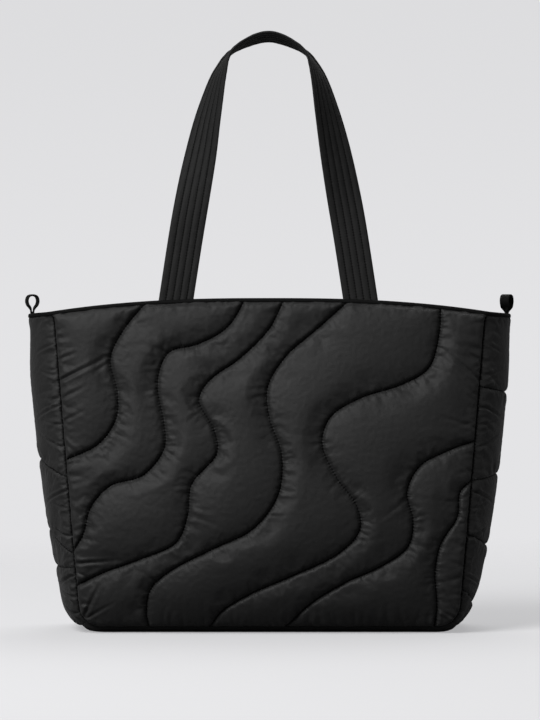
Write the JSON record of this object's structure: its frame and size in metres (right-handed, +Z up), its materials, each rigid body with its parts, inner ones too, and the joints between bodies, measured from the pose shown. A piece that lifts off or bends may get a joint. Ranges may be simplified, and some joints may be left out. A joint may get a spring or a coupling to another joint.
{
  "type": "quilted shopper bag",
  "caption": "Open-topped padded shopper bag with wavy quilting, side gussets, a flat base, a bound mouth, a pair of shoulder handles and small side loops.",
  "frame": {"origin": "middle of the base, on the surface the bag stands on", "axes": "+X to the right as seen from the front, +Y from the front panel to the back panel, +Z up"},
  "size_m": [0.4924, 0.1994, 0.603],
  "materials": {
    "shell_fabric": "soft satin woven nylon",
    "handle_fabric": "stitched woven strap",
    "binding_tape": "ribbed tape",
    "loop_tape": "ribbed tape"
  },
  "bodies": {
    "root": {"front_panel": "shell_fabric", "back_panel": "shell_fabric", "left_gusset": "shell_fabric", "right_gusset": "shell_fabric", "base_panel": "shell_fabric", "top_binding": "binding_tape", "front_handle": "handle_fabric", "back_handle": "handle_fabric", "left_loop": "loop_tape", "right_loop": "loop_tape"}
  },
  "joints": []
}
